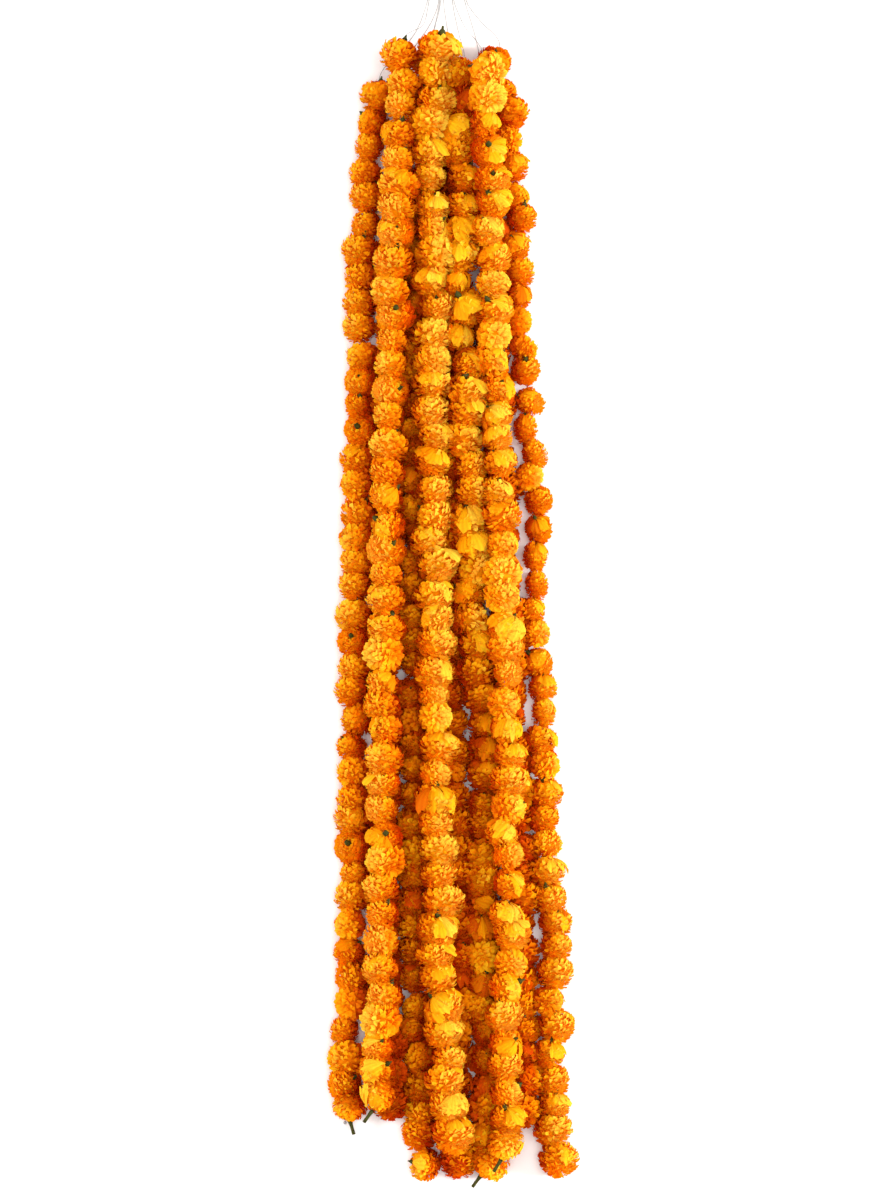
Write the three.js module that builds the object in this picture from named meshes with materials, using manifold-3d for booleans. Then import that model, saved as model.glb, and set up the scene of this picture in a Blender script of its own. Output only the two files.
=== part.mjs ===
// A bundle of ten marigold strands, gathered on one knot and laid down on a surface.
// Millimetres, +Z up. The strands lie along Y with their tied end towards +Y. The origin is on the
// surface, under the middle of the flowers.
import * as THREE from 'three';
import { mergeVertices } from 'three/addons/utils/BufferGeometryUtils.js';
import Module from 'manifold-3d';

const wasm = await Module();
wasm.setup();

// ---- Driving dimensions ----
const LENGTH = 1553; // from the highest flower head to the tip of the lowest cut stem
const HEAD_PITCH = 35; // from one head to the next along a strand
const HEAD_RADIUS = 20; // a head's widest part, without the loose tips of its petals
const WAIST_RADIUS = 9.5; // where two heads are pressed together
const HEAD_VARIATION = 0.05; // heads differ by this share in width
const HEAD_SIDES = 6;
const HEAD_ORDER = { perHead: 2.4, perStrand: 1.7 }; // radians, so that wide heads don't fall in rows
const PRESSED_AXIS = 15.5; // height of the thread in a strand whose petals the surface flattens
const LYING_GAP = 1.6; // between strands that lie on each other
const THREAD_RADIUS = 0.4;
const THREAD_SIDES = 6;
const TAIL_SIDES = 8;
const THREAD_STEPS = 10; // straight stretches of a thread inside its heads
const THREAD_START = 1; // how far a thread stands out of its first head
const NEEDLE_HOLE = { radius: 1.8, sides: 4, beyond: 1 };
const STOPPER_RADIUS = 2.3; // the knot that keeps the lowest head on
const TOUCH_GAP = 0.3; // between pieces that touch
const STEM = { radius: 2.4, tipRadius: 2.2, sides: 8 };
const STEM_FOOT = { radius: 2.9, length: 3, clear: 0.6 }; // where a stem widens into its head
const KNOT = { x: -8, y: 931, radius: 5, endRadius: 3, length: 13, sides: 12 };
const LOOP = { radius: 9, wire: 1.3, sides: 6, steps: 20, fromKnot: 5.4 };
const TAIL_SPACING = 1.3; // between the tails where they reach the knot
const TAIL_STEPS = 18;
const TAIL_END = { height: 0.6, fromKnot: 3.3 }; // where the tails go in under the knot's side

// Distances down the garland at which the strands' places across it are given
const STATIONS = [0, 125, 250, 500, 750, 1000, 1250, 1500];
const STEP = 25; // between the places where the strands' rest is worked out
const ARC_DIVISIONS = 400; // for measuring along a strand
const LAYER_HEIGHT = 34; // between strands that lie on top of each other, before they settle
const SETTLING = { rounds: 600, stiffness: 0.3, backToPlace: 0.3, sink: 0.6 };

// Strands from left to right. start and end are distances down the garland, across is the place at
// each station, and layer how many strands lie under it at first. girth is the width of the heads: one
// number, or one for each station. tail is the way of the free thread from the first head to the
// knot. A stem is the cut end that sticks out of the lowest head: its length, its place beside the
// thread and how far it leans to the right.
const STRANDS = [
  {
    start: 60, end: 1462, layer: 0, girth: 1,
    across: [-84, -96, -104, -119, -126, -129, -134, -145],
    tail: [
      [-95.6, 722, 14.8], [-92, 731, 8], [-84, 742, 1.6], [-74, 753, 0.6], [-62, 765, 0.6],
      [-50, 779, 0.6], [-42, 794, 0.6], [-31.8, 824, 0.6], [-27.2, 850, 0.6],
    ],
    stem: { length: 18, aside: 7, lean: 16 },
  },
  {
    start: 10, end: 1444, layer: 2, girth: 1,
    across: [-58, -66, -73, -82, -88, -90, -92, -101],
    tail: [
      [-62.9, 772, 50], [-57, 779, 38], [-48, 785, 22], [-40, 790, 8], [-35, 797, 1.4],
      [-33, 804, 0.7], [-29.2, 824, 0.6], [-24.8, 850, 0.6],
    ],
    stem: { length: 19, aside: -6, lean: -36 },
  },
  {
    start: 170, end: 1452, layer: 1, girth: 0.92,
    across: [-64, -66, -68, -80, -87, -89, -92, -76],
    tail: [
      [-71, 612, 22.8], [-69.5, 624, 13], [-68, 638, 2.8], [-67, 655, 0.9], [-64, 700, 0.6],
      [-57, 742, 0.6], [-48, 764, 0.6], [-36, 781, 0.6], [-26, 797, 0.6], [-16.4, 824, 0.6],
    ],
  },
  {
    start: 20, end: 1533, layer: 0, girth: 0.95, pressed: true,
    across: [-20, -34, -45, -50, -50, -49, -49, -37],
    tail: [
      [-28.4, 762, 14.8], [-27, 771, 7], [-24.5, 780, 1.2], [-21.5, 791, 0.6], [-14.8, 824, 0.6],
    ],
  },
  {
    start: 0, end: 1494, layer: 2, girth: 1.05,
    across: [-12, -20, -26, -23, -20, -20, -15, 6],
    tail: [
      [-21, 782, 55], [-19.8, 792, 36], [-17.8, 801, 14], [-15.8, 809, 2.4], [-14.6, 816, 0.6],
      [-12.9, 826, 0.6],
    ],
  },
  {
    start: 110, end: 1529, layer: 0, girth: 0.92, pressed: true,
    across: [4, 2, -4, -1, 2, 5, 8, 9],
    tail: [
      [5.6, 673, 14.4], [4.8, 686, 5], [3.8, 699, 1.4], [2, 732, 0.7], [-1.5, 770, 0.6],
      [-6, 800, 0.6], [-9.4, 828, 0.6],
    ],
  },
  {
    start: 36, end: 1534, layer: 1, girth: 1,
    across: [15, 13, 15, 21, 27, 37, 47, 44],
    tail: [
      [19, 746, 44.2], [17.5, 757, 31], [15, 768, 13], [12.4, 777, 2.8], [10.4, 786, 1],
      [2.7, 824, 0.6],
    ],
    stem: { length: 19, aside: -6, lean: -36 },
  },
  {
    start: 36, end: 1510, layer: 2, girth: 1,
    across: [36, 42, 49, 63, 70, 76, 80, 72],
    tail: [
      [43.8, 746, 77], [40, 759, 58], [33, 772, 30], [24, 784, 8], [18, 793, 1], [14.4, 801, 0.6],
      [4.3, 828, 0.6],
    ],
    stem: { length: 19, aside: -6, lean: -32 },
  },
  {
    start: 200, end: 1459, layer: 0, girth: 0.92,
    across: [40, 42, 48, 64, 73, 86, 98, 102],
    tail: [
      [44.9, 583, 14.4], [44, 596, 5], [43, 610, 1.6], [41, 660, 0.8], [40, 710, 0.6],
      [39.4, 748, 0.6], [36, 768, 0.6], [29, 794, 0.6], [19.6, 824, 0.6],
    ],
  },
  {
    start: 15, end: 1527, layer: 0, girth: [0.92, 0.92, 0.86, 0.74, 0.74, 0.86, 1, 1],
    across: [57, 74, 88, 105, 115, 124, 131, 135],
    tail: [
      [66.4, 767, 14.6], [63, 775, 7], [56, 784, 1.2], [47, 792, 0.6], [37, 803, 0.6],
      [22.4, 824, 0.6],
    ],
  },
];

const petals = new THREE.MeshStandardMaterial({ color: 0xf59a08, roughness: 0.75 });
const cotton = new THREE.MeshStandardMaterial({ color: 0xd9d6cf, roughness: 0.9 });
const greenStem = new THREE.MeshStandardMaterial({ color: 0x55683a, roughness: 0.6 });

// ---- Joining and cutting ----

/** A closed geometry as a solid: its shared corners are merged and its collapsed triangles dropped. */
function solid(geometry) {
  const bare = new THREE.BufferGeometry();
  bare.setAttribute('position', geometry.getAttribute('position'));
  bare.setIndex(geometry.getIndex());
  const merged = mergeVertices(bare, 1e-3);
  const corners = merged.getIndex().array;
  const kept = [];
  for (let i = 0; i < corners.length; i += 3) {
    const [a, b, c] = corners.slice(i, i + 3);
    if (a !== b && b !== c && c !== a) kept.push(a, b, c);
  }
  const mesh = new wasm.Mesh({
    numProp: 3,
    vertProperties: new Float32Array(merged.getAttribute('position').array),
    triVerts: new Uint32Array(kept),
  });
  return new wasm.Manifold(mesh);
}

/** A solid back as a geometry. */
function shape(manifold) {
  const { vertProperties, triVerts } = manifold.getMesh();
  const geometry = new THREE.BufferGeometry();
  geometry.setAttribute('position', new THREE.BufferAttribute(vertProperties, 3));
  geometry.setIndex(new THREE.BufferAttribute(triVerts, 1));
  geometry.computeVertexNormals();
  return geometry;
}

/** The space above the surface that the garland lies on. */
function aboveSurface() {
  const side = 3 * LENGTH;
  return solid(new THREE.BoxGeometry(side, side, side).translate(0, 0, side / 2));
}

// ---- Where the strands lie ----

/** A value given at each station, read between the stations. */
function between(stations, distance) {
  const values = new Float32Array(1);
  return new THREE.CubicInterpolant(STATIONS, stations, 1, values).evaluate(distance)[0];
}

/** How wide a strand's heads are at a distance down the garland, from the thread out. */
function radius(strand, distance) {
  const { girth } = strand;
  return HEAD_RADIUS * (Array.isArray(girth) ? between(girth, distance) : girth);
}

/** A strand's places across the garland and above the surface before it settles, one every STEP. */
function laidDown(strand) {
  const line = [];
  for (let distance = 0; distance <= LENGTH; distance += STEP) {
    const x = between(strand.across, distance);
    const there = distance > strand.start - HEAD_PITCH && distance < strand.end + HEAD_PITCH;
    line.push({ wanted: x, x, z: PRESSED_AXIS + strand.layer * LAYER_HEIGHT, there });
  }
  return line;
}

/** Moves two strands apart where their heads would press into each other. */
function pressApart(one, other, reach) {
  const aside = other.x - one.x;
  const above = other.z - one.z;
  const apart = Math.hypot(aside, above);
  if (!one.there || !other.there || apart >= reach) return;
  const move = (reach - apart) / (2 * apart);
  one.x -= aside * move;
  one.z -= above * move;
  other.x += aside * move;
  other.z += above * move;
}

/** Lets the strands sink onto the surface and onto each other, and keeps them stiff along their
 *  length. Each round pulls them down and back to their places, then presses them apart. */
function settle(lines) {
  const radii = lines.map((line, i) => line.map((place, k) => radius(STRANDS[i], k * STEP)));
  const { rounds, stiffness, backToPlace, sink } = SETTLING;
  for (let round = 0; round < rounds; round++) {
    const pull = 1 - round / rounds; // fades out, so that the last rounds only press apart
    for (const line of lines) {
      const before = line.map(({ x, z }) => ({ x, z }));
      line.forEach((place, k) => {
        const ahead = before[Math.min(k + 1, line.length - 1)];
        const behind = before[Math.max(k - 1, 0)];
        place.x += stiffness * ((ahead.x + behind.x) / 2 - place.x);
        place.x += backToPlace * pull * (place.wanted - place.x);
        place.z += stiffness * ((ahead.z + behind.z) / 2 - place.z) - sink * pull;
      });
    }
    for (let i = 0; i < lines.length; i++)
      for (let j = i + 1; j < lines.length; j++)
        lines[i].forEach((place, k) => {
          const reach = radii[i][k] + radii[j][k] + LYING_GAP;
          pressApart(place, lines[j][k], reach);
        });
    for (const line of lines)
      for (const place of line) place.z = Math.max(place.z, PRESSED_AXIS);
  }
}

const settled = STRANDS.map(laidDown);
settle(settled);

/** The line that a strand's thread follows through its heads, from the first to the last. */
function threadLine(number, beyondStart = 0, beyondEnd = 0) {
  const { start, end } = STRANDS[number];
  const places = settled[number];
  const from = start - beyondStart;
  const to = end + beyondEnd;
  const stretches = Math.round((to - from) / (2 * STEP));
  const points = [];
  for (let i = 0; i <= stretches; i++) {
    const distance = from + ((to - from) * i) / stretches;
    const step = THREE.MathUtils.clamp(Math.floor(distance / STEP), 0, places.length - 2);
    const before = places[step];
    const after = places[step + 1];
    const share = distance / STEP - step;
    points.push(new THREE.Vector3(
      THREE.MathUtils.lerp(before.x, after.x, share),
      LENGTH / 2 - distance,
      THREE.MathUtils.lerp(before.z, after.z, share)));
  }
  const line = new THREE.CatmullRomCurve3(points);
  line.arcLengthDivisions = ARC_DIVISIONS;
  return line;
}

// ---- The pieces of a strand ----

/** Bends a shape that was made along +Y onto a line: +Y follows the line and +Z stays on top. */
function bendAlong(geometry, line) {
  const position = geometry.getAttribute('position');
  const length = line.getLength();
  const up = new THREE.Vector3(0, 0, 1);
  for (let i = 0; i < position.count; i++) {
    const along = THREE.MathUtils.clamp(position.getY(i) / length, 0, 1);
    const ahead = line.getTangentAt(along);
    const aside = new THREE.Vector3().crossVectors(ahead, up).normalize();
    const rise = new THREE.Vector3().crossVectors(aside, ahead);
    const point = line.getPointAt(along)
      .addScaledVector(aside, position.getX(i))
      .addScaledVector(rise, position.getZ(i));
    position.setXYZ(i, point.x, point.y, point.z);
  }
  return geometry;
}

/** A regular outline round the origin, with its first corner halfway along the first side. */
function outline(radius, sides) {
  const corners = [];
  for (let i = 0; i < sides; i++) {
    const angle = ((i + 0.5) * 2 * Math.PI) / sides;
    corners.push(new THREE.Vector2(radius * Math.cos(angle), radius * Math.sin(angle)));
  }
  return new THREE.Shape(corners);
}

/** A round bar along a line. */
function bar(line, radius, sides, steps) {
  return new THREE.ExtrudeGeometry(outline(radius, sides), { extrudePath: line, steps });
}

/** Moves up to the surface every corner that would be under it. */
function flattened(geometry) {
  const position = geometry.getAttribute('position');
  for (let i = 0; i < position.count; i++) position.setZ(i, Math.max(position.getZ(i), 0));
  return geometry;
}

/** A strand's heads, threaded through the middle: a row of round bodies pressed together. The surface
 *  presses a flat face on each head of a strand that carries others. */
function blossoms(strand, number) {
  const line = threadLine(number);
  const length = line.getLength();
  const heads = Math.round(length / HEAD_PITCH);
  const pitch = length / heads;
  const profile = [new THREE.Vector2(0, 0), new THREE.Vector2(WAIST_RADIUS, 0)];
  for (let head = 0; head < heads; head++) {
    const order = HEAD_ORDER.perHead * head + HEAD_ORDER.perStrand * number;
    const size = 1 + HEAD_VARIATION * Math.sin(order);
    const middle = (head + 0.5) * pitch;
    profile.push(new THREE.Vector2(radius(strand, strand.start + middle) * size, middle));
    profile.push(new THREE.Vector2(WAIST_RADIUS, (head + 1) * pitch));
  }
  profile.push(new THREE.Vector2(0, length));
  const row = bendAlong(new THREE.LatheGeometry(profile, HEAD_SIDES, Math.PI / HEAD_SIDES), line);
  const { radius: holeRadius, sides, beyond } = NEEDLE_HOLE;
  const needleHole = solid(bar(threadLine(number, beyond, beyond), holeRadius, sides, THREAD_STEPS));
  if (strand.pressed) return shape(solid(row).subtract(needleHole).intersect(aboveSurface()));
  return shape(solid(flattened(row)).subtract(needleHole));
}

/** The cotton thread inside a strand's heads, with the stopper knot under the last one. */
function thread(number) {
  const beyond = TOUCH_GAP + STOPPER_RADIUS;
  const line = threadLine(number, THREAD_START, beyond);
  const stopper = new THREE.SphereGeometry(STOPPER_RADIUS, THREAD_SIDES, THREAD_SIDES - 1);
  const end = line.getPointAt(1);
  stopper.translate(end.x, end.y, end.z);
  const cord = solid(bar(line, THREAD_RADIUS, THREAD_SIDES, THREAD_STEPS));
  return shape(cord.add(solid(stopper)));
}

/** Where the tails reach the knot, side by side. */
function knotPlace(number) {
  const middle = (STRANDS.length - 1) / 2;
  const x = KNOT.x + (number - middle) * TAIL_SPACING;
  return [x, KNOT.y - TAIL_END.fromKnot, TAIL_END.height];
}

/** The free end of a thread, from the first head down to the surface and along it to the knot. */
function tail(strand, number) {
  const exit = threadLine(number, THREAD_START + TOUCH_GAP).getPointAt(0);
  const route = strand.tail.map((point) => new THREE.Vector3(...point));
  const line = new THREE.CatmullRomCurve3([exit, ...route, new THREE.Vector3(...knotPlace(number))]);
  return bar(line, THREAD_RADIUS, TAIL_SIDES, TAIL_STEPS);
}

/** The cut stem of the last head: a short stalk along +Y, wider where it grows into the head. */
function endStem({ length }) {
  const profile = [
    [0, 0], [STEM_FOOT.radius, 0], [STEM.radius, STEM_FOOT.length], [STEM.tipRadius, length],
    [0, length],
  ];
  return new THREE.LatheGeometry(profile.map((point) => new THREE.Vector2(...point)), STEM.sides);
}

/** The knot that gathers the tails: a short fat roll across them. */
function tieKnot() {
  const { radius: full, endRadius, length } = KNOT;
  const profile = [
    [0, -length / 2], [endRadius, -length / 2], [full, -length / 4], [full, length / 4],
    [endRadius, length / 2], [0, length / 2],
  ];
  return new THREE.LatheGeometry(profile.map((point) => new THREE.Vector2(...point)), KNOT.sides);
}

// ---- The garland ----

const garland = new THREE.Group();

function place(name, geometry, material, [x, y, z] = [0, 0, 0], parent = garland) {
  const mesh = new THREE.Mesh(geometry, material);
  mesh.name = name;
  mesh.position.set(x, y, z);
  parent.add(mesh);
  return mesh;
}

STRANDS.forEach((strand, index) => {
  const label = `strand_${String(index + 1).padStart(2, '0')}`;
  const group = new THREE.Group();
  garland.add(group);
  place(`${label}_blossoms`, blossoms(strand, index), petals, undefined, group);
  place(`${label}_thread`, thread(index), cotton, undefined, group);
  place(`${label}_tail`, tail(strand, index), cotton, undefined, group);
  if (strand.stem) {
    const lean = THREE.MathUtils.degToRad(strand.stem.lean);
    const clear = STEM_FOOT.clear + STEM_FOOT.radius * Math.sin(Math.abs(lean));
    const foot = threadLine(index, 0, clear).getPointAt(1);
    foot.x += strand.stem.aside;
    const stem = place(`${label}_end_stem`, endStem(strand.stem), greenStem, foot.toArray(), group);
    stem.rotation.z = Math.PI + lean;
  }
});

place('tie_knot', tieKnot(), cotton, [KNOT.x, KNOT.y, KNOT.radius]).rotation.z = Math.PI / 2;
const loopY = KNOT.y + LOOP.fromKnot + LOOP.radius;
place('hanging_loop', new THREE.TorusGeometry(LOOP.radius, LOOP.wire, LOOP.sides, LOOP.steps),
  cotton, [KNOT.x, loopY, LOOP.wire]);

export default garland;
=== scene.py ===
"""A bundle of marigold strings on cotton threads, tied together at one end and laid on a surface."""

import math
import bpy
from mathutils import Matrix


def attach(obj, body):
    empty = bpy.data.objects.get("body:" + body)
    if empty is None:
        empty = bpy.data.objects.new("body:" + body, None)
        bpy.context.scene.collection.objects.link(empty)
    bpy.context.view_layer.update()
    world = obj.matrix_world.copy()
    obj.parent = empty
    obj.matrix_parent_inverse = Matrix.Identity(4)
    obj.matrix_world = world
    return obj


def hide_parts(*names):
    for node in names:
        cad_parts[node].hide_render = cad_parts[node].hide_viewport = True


bl_info = {
    "name": "Marigold garland",
    "version": (1, 0, 0),
    "blender": (4, 5, 0),
    "location": "3D View > Sidebar > Garland",
    "description": "Builds a bundle of threaded marigold heads around its packed model",
    "category": "Object",
}

from collections import namedtuple

import bpy
import numpy as np

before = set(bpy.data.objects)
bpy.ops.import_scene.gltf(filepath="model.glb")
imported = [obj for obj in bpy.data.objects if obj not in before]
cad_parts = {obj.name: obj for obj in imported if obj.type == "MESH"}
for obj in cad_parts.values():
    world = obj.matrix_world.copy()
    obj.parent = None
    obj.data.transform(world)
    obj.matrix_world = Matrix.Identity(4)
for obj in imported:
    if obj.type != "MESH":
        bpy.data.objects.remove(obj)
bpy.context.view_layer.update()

MM = 0.001
STRINGS = 10

# How each string of heads looks, from left to right.
#   light    how light its petals are, from deep orange (0) to pale yellow (1); the low values of the third, sixth and ninth strings, which lie under the others, are partly painted shade
#   broad    share of the way round a head that is covered by broad outer petals
#   side     the side where the broad petals are, and towards which, and upwards, the petals are painted lighter as painted light: -1 left, 1 right
#   full     how far its heads fill the room between the strings, as a factor of their width
#   lean     how far a head's green cup leans away from the thread, in degrees
#   towards  where the cup leans: 0 is to the right, 90 is up, 180 is to the left
#   cups     share of the heads whose cup stands out of the petals
Look = namedtuple("Look", "light broad side full lean towards cups")
LOOKS = (
    Look(0.46, 0.07, -1, 1.04, 28, 20, 0.62),
    Look(0.47, 0.10, -1, 1.05, 32, 5, 0.62),
    Look(0.12, 0.03, -1, 1.14, 22, 90, 0.3),
    Look(0.38, 0.10, -1, 1.14, 24, 80, 0.4),
    Look(0.62, 0.20, 1, 1.08, 24, 95, 0.3),
    Look(0.10, 0.05, 1, 1.22, 20, 90, 0.3),
    Look(0.44, 0.24, 1, 1.12, 26, 90, 0.35),
    Look(0.56, 0.28, 1, 1.02, 26, 85, 0.35),
    Look(0.24, 0.10, 1, 1.18, 22, 90, 0.3),
    Look(0.52, 0.22, 1, 1.02, 24, 80, 0.35),
)

# The tails' lengths from their strings to the knot, and their ways, in millimetres.
TAILS = (
    (235.7, (
        (-95.6, 722, 14.8), (-92, 731, 8), (-84, 742, 1.6), (-74, 753, 0.6), (-62, 765, 0.6),
        (-50, 779, 0.6), (-42, 794, 0.6), (-31.8, 824, 0.6), (-27.2, 850, 0.6),
    )),
    (199.5, (
        (-62.9, 772, 50), (-57, 779, 38), (-48, 785, 22), (-40, 790, 8), (-35, 797, 1.4),
        (-33, 804, 0.7), (-29.2, 824, 0.6), (-24.8, 850, 0.6),
    )),
    (338.7, (
        (-71, 612, 22.8), (-69.5, 624, 13), (-68, 638, 2.8), (-67, 655, 0.9), (-64, 700, 0.6),
        (-57, 742, 0.6), (-48, 764, 0.6), (-36, 781, 0.6), (-26, 797, 0.6), (-16.4, 824, 0.6),
    )),
    (176.4, (
        (-28.4, 762, 14.8), (-27, 771, 7), (-24.5, 780, 1.2), (-21.5, 791, 0.6), (-14.8, 824, 0.6),
    )),
    (183.8, (
        (-21, 782, 55), (-19.8, 792, 36), (-17.8, 801, 14), (-15.8, 809, 2.4), (-14.6, 816, 0.6),
        (-12.9, 826, 0.6),
    )),
    (264.6, (
        (5.6, 673, 14.4), (4.8, 686, 5), (3.8, 699, 1.4), (2, 732, 0.7), (-1.5, 770, 0.6),
        (-6, 800, 0.6), (-9.4, 828, 0.6),
    )),
    (209.2, (
        (19, 746, 44.2), (17.5, 757, 31), (15, 768, 13), (12.4, 777, 2.8), (10.4, 786, 1),
        (2.7, 824, 0.6),
    )),
    (237.1, (
        (43.8, 746, 77), (40, 759, 58), (33, 772, 30), (24, 784, 8), (18, 793, 1), (14.4, 801, 0.6),
        (4.3, 828, 0.6),
    )),
    (359.0, (
        (44.9, 583, 14.4), (44, 596, 5), (43, 610, 1.6), (41, 660, 0.8), (40, 710, 0.6),
        (39.4, 748, 0.6), (36, 768, 0.6), (29, 794, 0.6), (19.6, 824, 0.6),
    )),
    (188.2, (
        (66.4, 767, 14.6), (63, 775, 7), (56, 784, 1.2), (47, 792, 0.6), (37, 803, 0.6),
        (22.4, 824, 0.6),
    )),
)
ANY_START = 6.3  # about a full turn, in radians, for waves that start anywhere
CUP_SIDE = 0.86  # a head's height on the side of its cup, as a share of its height
FACE_SIDE = 1.14  # and on the side of its face
BROAD = 16  # places for broad petals round a head's cup, by turns above and below their neighbours
ROUNDS = 15  # rounds of ruffled petals, from the cup to the middle of the face
ROUND_ENDS = (22, 174)  # where the first and the last round stand, in degrees from the cup
WIDEST_ROUND = 25  # ruffled petals in a round at the widest part of a head
COVER_ASIDE = 0.33  # how far round its head, each way, a broad petal covers ruffled ones, in radians
COVER_TO = 74  # and how far from the cup, in degrees
UNCOVERED = 0.16  # share of the covered ruffled petals that are there all the same
UNDERSIDE = -0.45  # z of the way out of a head, below which every other ruffled petal is left out
FLORET_LENGTH = 0.31  # a ruffled petal's length, as a share of the way from its tip to its head's middle
STEMMED = (1, 2, 7, 8)  # the strings whose last head keeps its cut stem
CUP_INSIDE = 2.5 * MM  # how far inside the petals' dome the widest part of a cup lies
SUNK_INSIDE = 9 * MM  # and that of a cup that doesn't stand out of the petals
ROUND_SIDES = 8  # sides of a cup, and of a head's closed middle
STEM_SIDES = 12
TAIL_STEPS = 36
WRAPS = 8  # turns of thread round the knot
WRAP_STEPS = 16  # points on each turn
KNOT_THREAD = 1.5 * MM
LOOP_TWISTS = 11  # twists of the loop's two threads in its way round
PAINTED_SHADE_UNDER = 0.62  # painted shade: how much deeper the shade of a petal is that lies fully under other strings
VEINS = 4  # veins across a strip of the petals' map
HEAD_SEED, CUP_SEED, PETAL_SEED = 300, 500, 700  # each string adds its number to them
VIEW_CENTRE = (-3.4 * MM, 20.2 * MM)  # the place of the bundle that the camera looks down on
VIEW_HEIGHT = 9.0
VIEW_MIDDLE = 0.04  # about half way up the bundle
VIEW_LENGTH = 1.607  # how much of the bundle's length is in view there
FLOOR_HALF = 30.0
ROOM_LIGHT = 0.22
# The lights' names, places that they shine from, softness in degrees and power.
LIGHTS = (
    ("light_left", (-2.0, 0.0, 0.80), 14, 2.3),
    ("light_right", (2.0, 0.0, 0.80), 14, 3.7),
    ("light_above", (0.3, 0.0, 2.8), 60, 2.6),
)
BROAD_GRID = (6, 8)  # corners of a broad petal, along it and across it
FLORET_GRID = (3, 3)
BROAD_STRIP = (0.36, 0.42)  # a broad petal's base on its strip of the map, and half of its width there
FLORET_STRIP = (0.12, 0.22)
HEART = 0.76  # a head's closed middle, as a share of its size
PETAL_MAP = "OFBake"
PETAL_SHADES = 16  # strips of the petals' map, from the deepest shade to the palest


# ---- The settings that a user would change ----


class BlossomSettings(bpy.types.PropertyGroup):
    reach: bpy.props.FloatProperty(
        name="Petal reach", description="How far the petals stand out of the pressed heads",
        default=3.0 * MM, min=0, max=8 * MM, subtype="DISTANCE", unit="LENGTH")
    flatness: bpy.props.FloatProperty(
        name="Flatness", description="A head's height along the thread as a share of its width",
        default=0.93, min=0.4, max=1.2)
    ruffle: bpy.props.FloatProperty(
        name="Ruffle", description="How far the petals' edges wave",
        default=1.5 * MM, min=0, max=4 * MM, subtype="DISTANCE", unit="LENGTH")
    deep: bpy.props.FloatVectorProperty(
        name="Deep petals", description="Colour of the deepest petals",
        default=(0.72, 0.095, 0.001), size=3, min=0, max=1, subtype="COLOR")
    orange: bpy.props.FloatVectorProperty(
        name="Orange petals", description="Colour of most petals",
        default=(0.98, 0.41, 0.001), size=3, min=0, max=1, subtype="COLOR")
    golden: bpy.props.FloatVectorProperty(
        name="Golden petals", description="Colour of the outer petals of the lighter heads",
        default=(1.0, 0.64, 0.008), size=3, min=0, max=1, subtype="COLOR")
    pale: bpy.props.FloatVectorProperty(
        name="Pale petals", description="Colour of the few palest petals",
        default=(1.0, 0.77, 0.06), size=3, min=0, max=1, subtype="COLOR")


class GreenSettings(bpy.types.PropertyGroup):
    cup_radius: bpy.props.FloatProperty(
        name="Cup radius", description="Radius of the green cup that holds a head's petals",
        default=4.3 * MM, min=1 * MM, max=9 * MM, subtype="DISTANCE", unit="LENGTH")
    colour: bpy.props.FloatVectorProperty(
        name="Green", description="Colour of the cups and the cut stems",
        default=(0.045, 0.046, 0.006), size=3, min=0, max=1, subtype="COLOR")


class ThreadSettings(bpy.types.PropertyGroup):
    diameter: bpy.props.FloatProperty(
        name="Thread", description="Thickness of the cotton thread",
        default=0.8 * MM, min=0.3 * MM, max=3 * MM, subtype="DISTANCE", unit="LENGTH")
    colour: bpy.props.FloatVectorProperty(
        name="Cotton", description="Colour of the cotton thread",
        default=(0.26, 0.25, 0.24), size=3, min=0, max=1, subtype="COLOR")


class StageSettings(bpy.types.PropertyGroup):
    floor: bpy.props.FloatVectorProperty(
        name="Floor", description="Colour of the plain surface under the garland",
        default=(0.90, 0.89, 0.87), size=3, min=0, max=1, subtype="COLOR")
    light: bpy.props.FloatProperty(
        name="Light", description="Strength of the studio lights together", default=1.10, min=0, max=5)


# ---- Meshes from numpy arrays ----


def mesh_piece(name, corners, faces, material, places=None):
    """An object on the body, from its corners and from groups of faces that have equally many corners.
    places gives each corner's place on the petals' map."""
    mesh = bpy.data.meshes.new(name)
    corners = corners.reshape(-1, 3)
    loops = np.concatenate([group.ravel() for group in faces])
    totals = np.concatenate([np.full(len(group), group.shape[1]) for group in faces])
    mesh.vertices.add(len(corners))
    mesh.vertices.foreach_set("co", corners.astype(np.float32).ravel())
    mesh.loops.add(len(loops))
    mesh.loops.foreach_set("vertex_index", loops.astype(np.int32))
    mesh.polygons.add(len(totals))
    mesh.polygons.foreach_set("loop_start", (np.cumsum(totals) - totals).astype(np.int32))
    mesh.polygons.foreach_set("use_smooth", np.ones(len(totals), bool))
    if places is not None:
        layer = mesh.uv_layers.new(name=PETAL_MAP)
        layer.uv.foreach_set("vector", places.reshape(-1, 2)[loops].astype(np.float32).ravel())
    mesh.update(calc_edges=True)
    mesh.materials.append(material)
    piece = bpy.data.objects.new(name, mesh)
    bpy.context.collection.objects.link(piece)
    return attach(piece, "root")


def grid_faces(rows, columns, copies=1, closed=False):
    """Quads of a rows x columns grid of corners, repeated for each copy; closed joins the last column
    to the first."""
    number = np.arange(rows * columns).reshape(rows, columns)
    if closed:
        number = np.concatenate([number, number[:, :1]], axis=1)
    one = np.stack([number[:-1, :-1], number[:-1, 1:], number[1:, 1:], number[1:, :-1]], axis=-1)
    first = rows * columns * np.arange(copies)
    return (one.reshape(1, -1, 4) + first[:, None, None]).reshape(-1, 4)


def unit(vectors):
    return vectors / np.linalg.norm(vectors, axis=-1, keepdims=True)


def node_corners(name):
    """The different corners of a CAD node, in metres."""
    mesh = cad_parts[name].data
    found = np.empty(len(mesh.vertices) * 3, np.float32)
    mesh.vertices.foreach_get("co", found)
    return np.unique(found.reshape(-1, 3).astype(float).round(6), axis=0)


# ---- Where the heads are ----

# A string's heads: centres, axes from the green cup to the face, two directions square to each axis,
# radii and half heights.
Heads = namedtuple("Heads", "centre axis first second radius height")


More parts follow.
